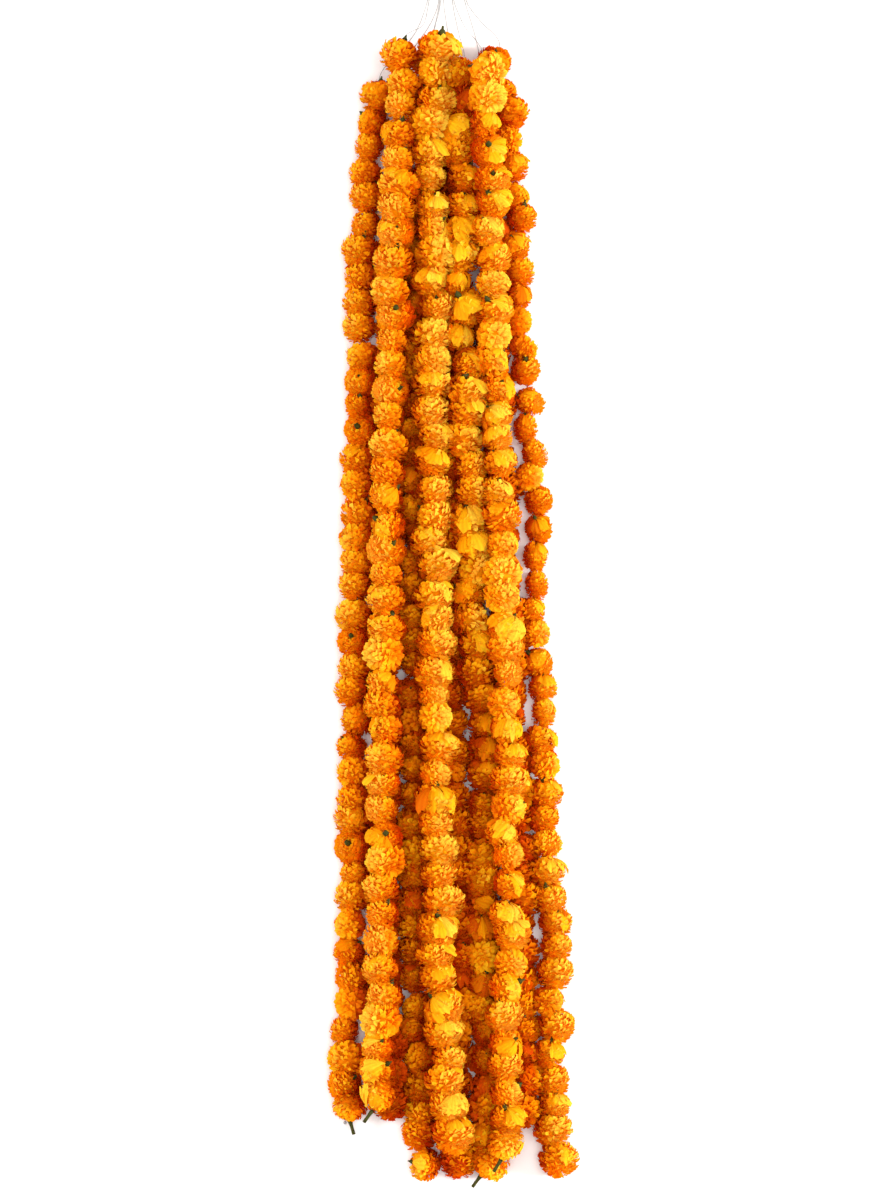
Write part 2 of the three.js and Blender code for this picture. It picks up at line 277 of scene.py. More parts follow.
def thread_line(label):
    """The line of a string's thread: the middles of the rings of its tube, which are its corners in
    groups of like distance along Y. The stopper knot at its lower end is left out."""
    corners = node_corners(f"{label}_thread")
    corners = corners[np.argsort(-corners[:, 1])]
    breaks = np.flatnonzero(np.diff(-corners[:, 1]) > 20 * MM) + 1
    return np.array([ring.mean(axis=0) for ring in np.split(corners, breaks)])


def heads_of(label):
    """The heads of a string: centres, directions along the thread away from the knot, and radii.
    The CAD heads are rings of corners round the thread, wide and narrow by turns. Each ring has two
    corners at the thread's height, which are the furthest out, and two above them."""
    corners = node_corners(f"{label}_blossoms")
    line = thread_line(label)[::-1]
    on_line = np.stack([np.interp(corners[:, 1], line[:, 1], line[:, k]) for k in (0, 2)], axis=1)
    aside, above = (corners[:, ::2] - on_line).T
    off_line = np.hypot(aside, above) > 4.5 * MM
    upper = corners[off_line & (above > -4 * MM) & (corners[:, 2] > 1 * MM)]
    upper = upper[np.argsort(-upper[:, 1])]
    rings = upper.reshape(-1, 4, 3)
    middle = rings.mean(axis=1, keepdims=True)
    out = np.abs(rings[:, :, 0] - middle[:, :, 0])
    ends = np.take_along_axis(rings, np.argsort(-out, axis=1)[:, :2, None], axis=1)
    centres = ends.mean(axis=1)
    radii = np.linalg.norm(ends[:, 0] - ends[:, 1], axis=1) / 2
    along = unit(centres[2::2] - centres[:-2:2])
    return centres[1::2], along, radii[1::2]


def turned_heads(along, look, rng):
    """Each head's own axis, from its green cup to its face, and two directions square to it. The axis
    is the thread's, leaning away from it by the look's angles with some scatter. One head in four is
    tossed further, to another side."""
    count = len(along)
    tossed = rng.random(count) < 0.25
    lean = np.radians(np.clip(rng.normal(look.lean, 13, count) + 36 * tossed, 2, 78))
    towards = rng.normal(look.towards, 45, count)
    towards = np.radians(towards + 110 * tossed * rng.choice([-1, 1], count))
    right = unit(np.cross(np.array([0.0, 0.0, 1.0]), along))
    above = np.cross(along, right)
    side = np.cos(towards)[:, None] * right + np.sin(towards)[:, None] * above
    axis = np.cos(lean)[:, None] * along - np.sin(lean)[:, None] * side
    first = unit(np.cross(axis, along + 0.01))
    return axis, first, np.cross(axis, first)


# ---- Petals ----


def towards_cup(angle, height):
    """How far towards its cup a point of a head's dome lies, by its angle from the cup. The dome is
    flatter on the side of the cup than on the side of the face."""
    return np.cos(angle) * height * np.where(angle < np.pi / 2, CUP_SIDE, FACE_SIDE)


def spread(rng, low, high, count):
    """One random number for each petal, to go with the petals' rows and columns."""
    return rng.uniform(low, high, (count, 1, 1))


def broad_petals(centre, frames, radius, height, azimuth, reach, width, lift, rng, rows, columns):
    """Broad outer petals. Each is a patch of its head's dome: u goes from the green cup to the rim as
    the angle from the axis, v across the petal as the angle round it. The patch is narrow at the cup.
    Its rim is rounded and has two or three small lobes, the waves of a cosine. Its distance from the
    middle of the head falls off with v squared, grows with the third power of u where the rim lifts, and
    waves across the petal with a sine that grows towards the rim."""
    axis, first, second = frames
    count = len(centre)
    u = np.linspace(0, 1, rows)[None, :, None]
    v = np.linspace(-1, 1, columns)[None, None, :]
    lobes = np.cos(spread(rng, 6, 9, count) * v + spread(rng, 0, ANY_START, count))
    notch = 1 - 0.15 * v**2 - 0.10 * v**6 + 0.04 * lobes + rng.normal(0, 0.016, (count, 1, columns))
    start = np.radians(8)
    angle = start + (reach[:, None, None] - start) * u * notch
    opening = 0.34 + 0.66 * u**0.7
    round_axis = azimuth[:, None, None] + width[:, None, None] * opening * v
    waves = np.sin(spread(rng, 2.5, 5.5, count) * v + spread(rng, 0, ANY_START, count))
    waves = waves + 0.4 * rng.normal(0, 1, (count, 1, columns)) + spread(rng, -1, 1, count) * v
    stand = 1 - 0.085 * u * v**2 + lift[:, None, None] * u**3 + 0.06 * u**1.5 * waves
    stand = stand + 0.018 * u * lobes + rng.normal(0, 0.012, (count, rows, columns)) - 0.12 * (1 - u) ** 2
    across = (stand * np.sin(angle) * radius[:, None, None])[..., None]
    down = (stand * towards_cup(angle, height[:, None, None]))[..., None]
    centre, axis, first, second = (x[:, None, None] for x in (centre, axis, first, second))
    out = np.cos(round_axis)[..., None] * first + np.sin(round_axis)[..., None] * second
    return centre + across * out - down * axis


def ruffled_florets(tip, root, back, half_width, ruffle, curl, rng, rows, columns):
    """Small inner petals. Each is a strip whose middle line is straight from its root for a part of its
    length, the foot, and then a circular arc that curls back towards the cup by the angle curl. It
    widens from its root, narrows again at its tip, whose edge is rounded and uneven, and it waves: it is
    moved along its normal by a sine across v that grows with u."""
    count = len(tip)
    u = np.linspace(0, 1, rows)[None, :, None] ** 0.8
    v = np.linspace(-1, 1, columns)[None, None, :]
    length = np.linalg.norm(tip - root, axis=1)
    ahead = (tip - root) / length[:, None]
    back = unit(back - (back * ahead).sum(axis=1, keepdims=True) * ahead)
    aside = np.cross(ahead, back)
    end = 1 - 0.10 * v**2 - 0.10 * v**4 + rng.normal(0, 0.02, (count, 1, columns))
    way = u * end
    foot = 0.30
    curl = curl[:, None, None]
    turn = curl * np.maximum(0, way - foot) / (1 - foot)
    size = length[:, None, None] / (foot + (1 - foot) * np.sin(curl) / curl)
    arc = size * (1 - foot) / curl
    forth = (size * np.minimum(way, foot) + arc * np.sin(turn))[..., None]
    over = (arc * (1 - np.cos(turn)))[..., None]
    waves = np.sin(spread(rng, 2.4, 4.4, count) * v + spread(rng, 0, ANY_START, count))
    waves = waves + 0.5 * rng.normal(0, 1, (count, 1, columns))
    waves = (ruffle[:, None, None] * u * waves)[..., None]
    width = half_width[:, None, None] * (0.35 + 0.65 * np.sin(0.5 * np.pi * np.minimum(1, 1.5 * u)))
    width = width * (1 - 0.40 * u**4)
    width = (width * v)[..., None]
    ahead, back, aside = (x[:, None, None] for x in (ahead, back, aside))
    normal = np.cos(turn)[..., None] * back - np.sin(turn)[..., None] * ahead
    return root[:, None, None] + forth * ahead + over * back + width * aside + waves * normal


def strip_of(shade):
    """The strip of the petals' map that holds a shade."""
    return np.clip(np.round(shade * (PETAL_SHADES - 1)), 0, PETAL_SHADES - 1)


def petal_places(shade, base, half, rows, columns):
    """Each petal corner's place on the petals' map: the strip of the petal's shade, across the strip
    with v, by half of a strip's width each way, and up it with u from the height base."""
    u = np.linspace(base, 0.98, rows)[None, :, None]
    v = np.linspace(-half, half, columns)[None, None, :]
    across = (strip_of(shade)[:, None, None] + 0.5 + v) / PETAL_SHADES
    return np.stack(np.broadcast_arrays(across, u), axis=-1)


def round_bodies(start, ahead, first, along, radii, ribs):
    """Closed bodies of revolution. Each has its axis from start in the direction ahead. along gives the
    distances of its first pole, its rings and its last pole, radii the rings' radii, and ribs the factor
    on the radius of each side. Returns the corners, the quads and the triangles at the poles."""
    count, rings = radii.shape
    sides = len(ribs)
    second = np.cross(ahead, first)
    turn = 2 * np.pi * np.arange(sides) / sides
    out = np.cos(turn)[:, None] * first[:, None] + np.sin(turn)[:, None] * second[:, None]
    middle = start[:, None] + along[..., None] * ahead[:, None]
    reach = (radii[:, :, None] * ribs)[..., None]
    wall = (middle[:, 1:-1, None] + reach * out[:, None]).reshape(count, -1, 3)
    corners = np.concatenate([wall, middle[:, [0, -1]]], axis=1)
    offset = corners.shape[1] * np.arange(count)[:, None, None]
    quads = grid_faces(rings, sides, closed=True)[None] + offset
    ring = np.arange(sides)
    after = (ring + 1) % sides
    poles = np.full(sides, rings * sides)
    last = (rings - 1) * sides
    caps = np.concatenate([
        np.stack([poles, after, ring], axis=1), np.stack([poles + 1, last + ring, last + after], axis=1)])
    return corners, quads.reshape(-1, 4), (caps[None] + offset).reshape(-1, 3)


def hearts(centre, axis, first, radius, height):
    """The closed middle of each head, where its petals stand: rings round its axis that follow the
    petals' dome."""
    down = np.radians([0, 36, 72, 108, 144, 180])
    along = -towards_cup(down, height[:, None])
    radii = np.sin(down[1:-1]) * radius[:, None]
    return round_bodies(centre, axis, first, along, radii, np.ones(ROUND_SIDES))


def onto_surface(corners):
    """Petals under the strings are pressed on the surface: heights below a knee are squeezed towards
    the surface, as an exponential that leaves the knee at slope one."""
    knee, lowest = 7 * MM, 0.4 * MM
    room = knee - lowest
    height = corners[..., 2]
    squeezed = knee - room * (1 - np.exp(-(knee - height) / room))
    corners[..., 2] = np.where(height < knee, squeezed, height)
    return corners


def dressed_heads(number, settings):
    """A string's heads as the petals and cups see them. They are a little out of line with each other.
    Narrow heads are long enough to touch their neighbours. The last head of a string that ends in a cut
    stem is turned round, with its cup on the stem."""
    look = LOOKS[number - 1]
    rng = np.random.default_rng(HEAD_SEED + number)
    centre, along, radius = heads_of(f"strand_{number:02d}")
    count = len(centre)
    pitch = np.linalg.norm(np.diff(centre, axis=0), axis=1).mean()
    radius = (radius + settings.reach) * look.full * np.clip(rng.normal(1.0, 0.10, count), 0.82, 1.12)
    height = np.maximum(radius * settings.flatness, 0.60 * pitch)
    right = unit(np.cross(np.array([0.0, 0.0, 1.0]), along))
    shift = np.clip(rng.normal(0, 1, (3, count, 1)), -2, 2) * MM
    centre = centre + 3.0 * shift[0] * along + (3.7 + 0.7 * look.side) * shift[1] * right
    centre = centre + 1.5 * shift[2] * np.cross(along, right)
    axis, first, second = turned_heads(along, look, rng)
    if number in STEMMED:
        foot = stem_ends(number)[0]
        axis[-1] = unit(centre[-1] - foot)
        first[-1] = unit(np.cross(axis[-1], along[-1] + 0.01))
        second[-1] = np.cross(axis[-1], first[-1])
        height[-1] = (np.linalg.norm(centre[-1] - foot) - 1 * MM) / CUP_SIDE
    return Heads(centre, axis, first, second, radius, height)


def stem_ends(number):
    """The two ends of the CAD end stem: its wide foot, which is nearer to the heads, and its tip. They
    are the middles of its corners that lie furthest along its longest direction."""
    corners = node_corners(f"strand_{number:02d}_end_stem")
    middle = corners.mean(axis=0)
    longest = np.linalg.svd(corners - middle)[2][0]
    way = (corners - middle) @ (longest * np.sign(longest[1]))
    foot, tip = way > way.max() - 0.4 * MM, way < way.min() + 0.4 * MM
    return corners[foot].mean(axis=0), corners[tip].mean(axis=0)


# Painted shade: this sets how much deeper the petals' shade is where other strings lie over them.
def depth_under(others, places):
    """How deep each place lies under other strings, from 0 to 1. Each of their heads covers it by a bell
    curve of its distance seen from above, and in full from 25 mm up. What they leave open is multiplied."""
    reach, full = 27 * MM, 25 * MM
    away = others[None] - places[:, None]
    near = np.exp(-(away[..., 0] ** 2 + away[..., 1] ** 2) / (2 * reach**2))
    return 1 - np.prod(1 - near * np.clip(away[..., 2] / full, 0, 1), axis=1)


def broad_places(heads, look, turn, rng):
    """The angles of the places for broad petals round each head, and which of them have one. A head's
    bare places are on the side away from its string's side, and a little down, and its share of petals
    differs from the look's."""
    count = len(heads.centre)
    away = np.array([-look.side, 0.0, -0.5])
    bare_at = np.arctan2(heads.second @ away, heads.first @ away) + rng.normal(0, 0.6, count)
    share = np.clip(look.broad * rng.normal(1, 1.2, count), 0, 0.8)
    step = np.arange(BROAD) + rng.normal(0, 0.2, (count, BROAD))
    places = turn[:, None] + 2 * np.pi * step / BROAD
    there = np.cos(places - bare_at[:, None]) < np.cos(np.pi * (1 - share))[:, None]
    return places, there


def broad_layer(heads, places, there, rng):
    """The broad petals of a string's heads: the number of each one's head and its grid of corners.
    Every other petal lies a little deeper than its neighbours and reaches further."""
    head, petal = np.nonzero(there)
    some = len(head)
    under = petal % 2
    deep = rng.normal(1.0, 0.02, some) - 0.05 * under
    far = np.clip(rng.normal(88, 13, len(heads.centre)), 62, 112)[head]
    far = far + rng.normal(0, 6, some) + 10 * under
    grid = broad_petals(
        heads.centre[head], (heads.axis[head], heads.first[head], heads.second[head]),
        deep * heads.radius[head], deep * heads.height[head], places[head, petal], np.radians(far),
        rng.normal(0.40, 0.04, some), rng.normal(0.04, 0.08, some), rng, *BROAD_GRID)
    return head, grid


def floret_layer(heads, turn, places, there, ruffle, rng):
    """The ruffled petals of a string's heads: the number of each one's head, its grid of corners, its
    tip and the way out of the head there. They stand in rounds, in number by the sine of the round's
    angle from the cup. Most of those near the cup that a broad petal covers are left out, and every
    other one on the underside."""
    turns = np.radians(np.linspace(*ROUND_ENDS, ROUNDS))
    numbers = np.round(WIDEST_ROUND * np.sin(turns)).astype(int)
    in_round = np.repeat(np.arange(ROUNDS), numbers)
    step = np.concatenate([np.arange(n) / n for n in numbers])
    head = np.repeat(np.arange(len(heads.centre)), len(step))
    floret = np.tile(np.arange(len(step)), len(heads.centre))
    lap = in_round[floret]
    some = len(head)
    azimuth = turn[head] + 2 * np.pi * step[floret] + 1.9 * lap
    azimuth = azimuth + rng.normal(0, 0.25, some) * 2 * np.pi / numbers[lap]
    angle = np.abs(turns[lap] + np.radians(rng.normal(0, 4, some)))
    near = np.cos(azimuth[:, None] - places[head]) > math.cos(COVER_ASIDE)
    covered = (near & there[head]).any(axis=1) & (angle < np.radians(COVER_TO))
    covered = covered & (rng.random(some) > UNCOVERED)
    centre, axis, first, second, radius, height = (x[head] for x in heads)
    out = np.cos(azimuth)[:, None] * first + np.sin(azimuth)[:, None] * second
    facing = np.sin(angle)[:, None] * out - np.cos(angle)[:, None] * axis
    hidden = (facing[:, 2] < UNDERSIDE) & (floret % 2 == 0)
    kept = ~covered & ~hidden
    head, angle, out, facing = head[kept], angle[kept], out[kept], facing[kept]
    centre, axis, radius, height = centre[kept], axis[kept], radius[kept], height[kept]
    some = len(head)
    stand = rng.normal(0.985, 0.03, some)
    across = (stand * np.sin(angle) * radius)[:, None]
    down = (stand * towards_cup(angle, height))[:, None]
    tip = centre + across * out - down * axis
    seat = centre - (0.1 * height)[:, None] * axis
    back = -np.sin(angle)[:, None] * axis - np.cos(angle)[:, None] * out
    back = back + 0.45 * rng.normal(0, 1, (some, 3))
    grid = ruffled_florets(
        tip, tip + FLORET_LENGTH * (seat - tip), back, rng.normal(0.155, 0.02, some) * radius,
        ruffle * rng.uniform(0.2, 0.6, some), rng.uniform(1.3, 2.2, some), rng, *FLORET_GRID)
    return head, grid, tip, facing


def string_of_petals(number, others, settings):
    """Corners, faces and map places of all petals of a string. A petal's shade is its head's, with painted
    light that makes it lighter upwards and towards the string's side, and painted shade that makes it
    deeper far under the heads of the others."""
    look = LOOKS[number - 1]
    rng = np.random.default_rng(PETAL_SEED + number)
    heads = dressed_heads(number, settings)
    count = len(heads.centre)
    light = look.light + rng.normal(0, 0.08, count)
    turn = rng.uniform(0, 2 * np.pi, count)
    # Painted light: the way that the lighter petals face, up and towards the string's side.
    painted_light_side = np.array([0.70 * look.side, 0.0, 0.71])

    sites, there = broad_places(heads, look, turn, rng)
    head, grid = broad_layer(heads, sites, there, rng)
    middle = grid[:, BROAD_GRID[0] // 2:].mean(axis=(1, 2))
    facing = unit(middle - heads.centre[head])
    # Painted light: lighter where a petal faces up and towards the string's side; painted shade: deeper
    # under the other strings.
    shade = light[head] + rng.normal(-0.16, 0.08, len(head)) + 0.50 * facing @ painted_light_side
    layers = [(grid, shade - PAINTED_SHADE_UNDER * depth_under(others, middle), *BROAD_STRIP)]
    head, grid, tip, facing = floret_layer(heads, turn, sites, there, settings.ruffle, rng)
    # The same painted light and painted shade on the ruffled petals.
    shade = light[head] + rng.normal(-0.05, 0.05, len(head)) + 0.60 * facing @ painted_light_side
    layers.append((grid, shade - PAINTED_SHADE_UNDER * depth_under(others, tip), *FLORET_STRIP))

    corners, places, quads = [], [], []
    made = 0
    for grid, shade, base, half in layers:
        copies, rows, columns = grid.shape[:3]
        corners.append(grid.reshape(-1, 3))
        places.append(petal_places(shade, base, half, rows, columns).reshape(-1, 2))
        quads.append(grid_faces(rows, columns, copies) + made)
        made += copies * rows * columns

    ball, ball_quads, ball_caps = hearts(
        heads.centre, heads.axis, heads.first, HEART * heads.radius, HEART * heads.height)
    corners.append(ball.reshape(-1, 3))
    # The closed middles stand for the packed inner petals; their tone is a little deeper than their head's
    # and low on the petals' darker base, partly as painted shade of the gaps between petals.
    spot = np.stack([(strip_of(light - 0.12) + 0.5) / PETAL_SHADES, np.full(count, 0.3)], axis=1)
    places.append(np.repeat(spot, ball.shape[1], axis=0))
    faces = [np.concatenate([*quads, ball_quads + made]), ball_caps + made]
    return onto_surface(np.concatenate(corners)), faces, np.concatenate(places)


# ---- Green cups and stems ----


def green_cups(number, blossoms, settings):
    """The cups of a string's heads: ribbed bodies that widen from the petals to a belly and narrow to a
    neck with a short end of stem. Only the look's share of them stands out of the petals."""
    rng = np.random.default_rng(CUP_SEED + number)
    heads = dressed_heads(number, blossoms)
    count = len(heads.centre)
    size = (settings.cup_radius * rng.normal(1, 0.10, count) * heads.radius / heads.radius.max())[:, None]
    stub = rng.uniform(0.1, 0.8, count)[:, None] * size
    inside = np.where(rng.random(count) < LOOKS[number - 1].cups, CUP_INSIDE, SUNK_INSIDE)
    belly = (CUP_SIDE * heads.height - inside)[:, None]
    along = belly + np.array([-2.0, -0.9, -0.2, 0.45, 1.1, 1.6, 1.8]) * size
    along = np.concatenate([along[:, :6], along[:, 5:6] + stub, along[:, 6:] + stub], axis=1)
    radii = np.array([0.80, 1.0, 1.06, 0.80, 0.38, 0.32]) * size
    ribs = 1 + 0.07 * (-1.0) ** np.arange(ROUND_SIDES)
    corners, quads, caps = round_bodies(heads.centre, -heads.axis, heads.first, along, radii, ribs)
    return onto_surface(corners), quads, caps


def cut_stem(number):
    """The cut stem at the end of a string: a ribbed stalk that is thickest at its foot, and a little
    thicker at its cut than at its middle."""
    foot, tip = stem_ends(number)
    ahead = (tip - foot)[None]
    length = np.linalg.norm(ahead)
    ahead = unit(ahead)
    first = unit(np.cross(ahead, [0.0, 0.0, 1.0]))
    foot_rings = [-2.0 * MM, -1.6 * MM, 2.5 * MM]
    along = np.array([[*foot_rings, 0.40 * length, 0.75 * length, 0.97 * length, length]])
    radii = np.array([[2.9, 2.6, 2.1, 2.25, 2.3]]) * MM
    ribs = 1 + 0.06 * (-1.0) ** np.arange(STEM_SIDES)
    return round_bodies(foot[None], ahead, first, along, radii, ribs)


# ---- Materials ----


def new_material(name):
    """A material, its node tree and its shader, which is joined to its output."""
    material = bpy.data.materials.new(name)
    material.use_nodes = True
    tree = material.node_tree
    tree.nodes.clear()
    output = tree.nodes.new("ShaderNodeOutputMaterial")
    shader = tree.nodes.new("ShaderNodeBsdfPrincipled")
    tree.links.new(shader.outputs[0], output.inputs[0])
    return material, tree, shader


def maths(tree, operation, *values):
    """A Math node with the given numbers or sockets; returns its output."""
    node = tree.nodes.new("ShaderNodeMath")
    node.operation = operation
    for socket, value in zip(node.inputs, values):
        if isinstance(value, (int, float)):
            socket.default_value = value
        else:
            tree.links.new(value, socket)
    return node.outputs[0]


def ramp(tree, value, stops):
    """A colour ramp over a socket; stops are (place, colour)."""
    node = tree.nodes.new("ShaderNodeValToRGB")
    elements = node.color_ramp.elements
    while len(elements) < len(stops):
        elements.new(0.5)
    for element, (place, colour) in zip(elements, stops):
        element.position = place
        element.color = (*colour, 1)
    tree.links.new(value, node.inputs[0])
    return node.outputs[0]


def mix_colours(tree, blend, share, one, other):
    """A Mix node for colours. Its share and its colours are values or sockets."""
    node = tree.nodes.new("ShaderNodeMix")
    node.data_type = "RGBA"
    node.blend_type = blend
    for socket, value in ((node.inputs["Factor"], share), (node.inputs[6], one), (node.inputs[7], other)):
        if isinstance(value, bpy.types.NodeSocket):
            tree.links.new(value, socket)
        else:
            socket.default_value = value
    return node.outputs[2]


def noise(tree, scale, detail=2.0, roughness=0.5):
    """Noise on object coordinates, in repeats per metre."""
    place = tree.nodes.new("ShaderNodeTexCoord").outputs["Object"]
    node = tree.nodes.new("ShaderNodeTexNoise")
    node.inputs["Scale"].default_value = scale
    node.inputs["Detail"].default_value = detail
    node.inputs["Roughness"].default_value = roughness
    tree.links.new(place, node.inputs["Vector"])
    return node.outputs["Fac"]


def add_bump(tree, shader, height, strength, distance):
    """A bump on the shader from a socket; returns the bumped normal."""
    bump = tree.nodes.new("ShaderNodeBump")
    bump.inputs["Strength"].default_value = strength
    bump.inputs["Distance"].default_value = distance
    tree.links.new(height, bump.inputs["Height"])
    tree.links.new(bump.outputs[0], shader.inputs["Normal"])
    return bump.outputs[0]


def petal_material(settings):
    """Petals: the strip of the map gives the shade, which holds the heads' own tones together with the
    painted light and painted shade that string_of_petals adds; the way up it gives a darkening from the
    deep base to the light edge, partly the petals' own deeper base and partly painted shade of the
    recesses between them, with a pale edge on the lighter strips that is partly painted highlight; the
    way across it gives the fine veins. Some light passes through."""
    material, tree, shader = new_material("marigold_petals")
    place = tree.nodes.new("ShaderNodeUVMap")
    place.uv_map = PETAL_MAP
    split = tree.nodes.new("ShaderNodeSeparateXYZ")
    tree.links.new(place.outputs[0], split.inputs[0])
    strips = maths(tree, "MULTIPLY", split.outputs[0], PETAL_SHADES)
    strip = maths(tree, "FLOOR", strips)
    across = maths(tree, "FRACT", strips)
    shade = maths(tree, "DIVIDE", strip, PETAL_SHADES - 1)
    # The shade strips hold the heads' own tones and also painted light and painted shade.
    colour = ramp(tree, shade, (
        (0.0, settings.deep), (0.45, settings.orange), (0.78, settings.golden), (1.0, settings.pale)))
    # Darker towards the petal's base: partly the petals' own deeper base, partly painted shade of the
    # recesses between petals.
    base_tone_and_shade = ramp(tree, split.outputs[1], (
        (0.0, (0.95, 0.68, 0.45)), (0.36, (1, 0.96, 0.9)), (0.65, (1, 1, 1)), (1.0, (1, 1.06, 1.0))))
    colour = mix_colours(tree, "MULTIPLY", 1.0, colour, base_tone_and_shade)
    veins = maths(tree, "SINE", maths(tree, "MULTIPLY", across, 2 * math.pi * VEINS))
    veins = maths(tree, "MULTIPLY_ADD", veins, 0.5, 0.5)
    colour = mix_colours(
        tree, "MULTIPLY", maths(tree, "MULTIPLY", veins, 0.5), colour, (0.92, 0.58, 0.35, 1))
    # Pale edges on the lighter strips: partly the petals' own pale edges, partly painted highlight.
    rim = ramp(tree, split.outputs[1], ((0.70, (0, 0, 0)), (1.0, (0.24, 0.24, 0.24))))
    light = ramp(tree, shade, ((0.45, (0, 0, 0)), (1.0, (1, 1, 1))))
    edge = maths(tree, "MULTIPLY", rim, light)
    colour = mix_colours(tree, "MIX", edge, colour, (*settings.pale, 1))
    mottle = ramp(tree, noise(tree, 520, 2), ((0.35, (0.98, 0.91, 0.8)), (0.62, (1, 1, 1))))
    colour = mix_colours(tree, "MULTIPLY", 1.0, colour, mottle)
    tree.links.new(colour, shader.inputs["Base Color"])
    shader.inputs["Roughness"].default_value = 0.68
    shader.inputs["Specular IOR Level"].default_value = 0.04
    crinkle = maths(tree, "MULTIPLY_ADD", veins, 0.15, noise(tree, 330, 3, 0.6))
    normal = add_bump(tree, shader, crinkle, 0.4, 1.2 * MM)
    through = tree.nodes.new("ShaderNodeBsdfTranslucent")
    deeper = mix_colours(tree, "MULTIPLY", 1.0, colour, (1, 0.38, 0.15, 1))
    tree.links.new(deeper, through.inputs["Color"])
    tree.links.new(normal, through.inputs["Normal"])
    both = tree.nodes.new("ShaderNodeMixShader")
    both.inputs[0].default_value = 0.40
    tree.links.new(shader.outputs[0], both.inputs[1])
    tree.links.new(through.outputs[0], both.inputs[2])
    tree.links.new(both.outputs[0], tree.nodes["Material Output"].inputs[0])
    return material


def green_material(settings):
    """Cups and stems: dark green with lighter streaks and a few brown spots."""
    material, tree, shader = new_material("green_cups")
    dark = settings.colour
    streaks = ramp(tree, noise(tree, 260, 3), (
        (0.30, tuple(0.55 * c for c in dark)), (0.55, tuple(dark)), (0.80, tuple(1.7 * c for c in dark))))
    spots = ramp(tree, noise(tree, 700, 1), ((0.62, (0, 0, 0)), (0.72, (1, 1, 1))))
    colour = mix_colours(tree, "MIX", spots, streaks, (0.10, 0.055, 0.02, 1))
    tree.links.new(colour, shader.inputs["Base Color"])
    shader.inputs["Roughness"].default_value = 0.6
    shader.inputs["Specular IOR Level"].default_value = 0.1
    add_bump(tree, shader, noise(tree, 900, 2), 0.4, 0.3 * MM)
    return material


def cotton_material(settings):
    """Cotton: grey thread with fine uneven fibres."""
    material, tree, shader = new_material("cotton_thread")
    tint = settings.colour
    fibres = noise(tree, 1500, 3, 0.7)
    colour = ramp(tree, fibres, (
        (0.30, tuple(0.72 * c for c in tint)), (0.70, tuple(min(1.0, 1.2 * c) for c in tint))))
    tree.links.new(colour, shader.inputs["Base Color"])
    shader.inputs["Roughness"].default_value = 0.85
    add_bump(tree, shader, fibres, 0.6, 0.2 * MM)
    return material


def floor_material(settings):
    """A plain floor of almost one tone."""
    material, tree, shader = new_material("plain_floor")
    tint = settings.floor
    soft = ramp(tree, noise(tree, 3, 2), (
        (0.3, tuple(0.985 * c for c in tint)), (0.7, tuple(tint))))
    tree.links.new(soft, shader.inputs["Base Color"])
    shader.inputs["Roughness"].default_value = 0.9
    shader.inputs["Specular IOR Level"].default_value = 0.1
    return material


def kept_material(name, make, settings):
    """The material of that name, made once."""
    return bpy.data.materials.get(name) or make(settings)


# ---- Threads ----


def smooth_points(points, steps):
    """Points on the smooth curve through the given ones: a centripetal Catmull-Rom curve. Between two
    points, straight lines over the square roots of the distances are mixed three times."""
    points = np.asarray(points, float)
    points = np.concatenate([[2 * points[0] - points[1]], points, [2 * points[-1] - points[-2]]])
    knots = np.concatenate([[0], np.cumsum(np.sqrt(np.linalg.norm(np.diff(points, axis=0), axis=1)))])
    wanted = np.linspace(knots[1], knots[-2], 8 * steps)
    piece = np.clip(np.searchsorted(knots, wanted, side="right") - 1, 1, len(points) - 3)
    t = [knots[piece + k][:, None] for k in (-1, 0, 1, 2)]
    p = [points[piece + k] for k in (-1, 0, 1, 2)]
    w = wanted[:, None]

    def line(a, b, ta, tb):
        return ((tb - w) * a + (w - ta) * b) / (tb - ta)

    a1, a2, a3 = line(p[0], p[1], t[0], t[1]), line(p[1], p[2], t[1], t[2]), line(p[2], p[3], t[2], t[3])
    fine = line(line(a1, a2, t[0], t[2]), line(a2, a3, t[1], t[3]), t[1], t[2])
    gone = np.concatenate([[0], np.cumsum(np.linalg.norm(np.diff(fine, axis=0), axis=1))])
    even = np.linspace(0, gone[-1], steps + 1)
    return np.stack([np.interp(even, gone, fine[:, k]) for k in range(3)], axis=1)


def tail_end(label, highest):
    """The middle of the end of a CAD tail: of its corners that are furthest along Y, or least far."""
    corners = node_corners(f"{label}_tail")
    edge = corners[:, 1].max() if highest else corners[:, 1].min()
    return corners[np.abs(corners[:, 1] - edge) < 0.25 * MM].mean(axis=0)


def middle_and_half(name):
    """The middle of a CAD node's box, and half of its size."""
    corners = node_corners(name)
    low, high = corners.min(axis=0), corners.max(axis=0)
    return (low + high) / 2, (high - low) / 2


def knot_ways():
    """The ways of the knot's threads: the wraps, a screw line along X, and the core that they hide. Their
    distance from the knot's middle line follows an ellipse that is cut off at both ends, and the wraps
    are uneven by a sine that is out of step with their turns. Those under the knot lie on the surface."""
    middle, half = middle_and_half("tie_knot")
    way = np.linspace(-1, 1, WRAP_STEPS * WRAPS + 1)
    turn = 2 * np.pi * WRAPS * (way + 1) / 2
    wrap = KNOT_THREAD / 2
    belly = (half[1] - wrap) * np.sqrt(1 - 0.72 * way**2)
    uneven = 1 + 0.04 * np.sin(1.37 * turn)
    wraps = middle + np.stack(
        [(half[0] - wrap) * way, belly * uneven * np.cos(turn), belly * uneven * np.sin(turn)], axis=1)
    wraps[:, 2] = np.maximum(wraps[:, 2], wrap)
    core = np.linspace(-0.98, 0.98, WRAPS + 1)[:, None]
    core = middle + np.array([1.0, 0, 0]) * (half[0] - wrap) * core
    return [(wraps, 1), (core, 2 * belly[::WRAP_STEPS] / KNOT_THREAD)]


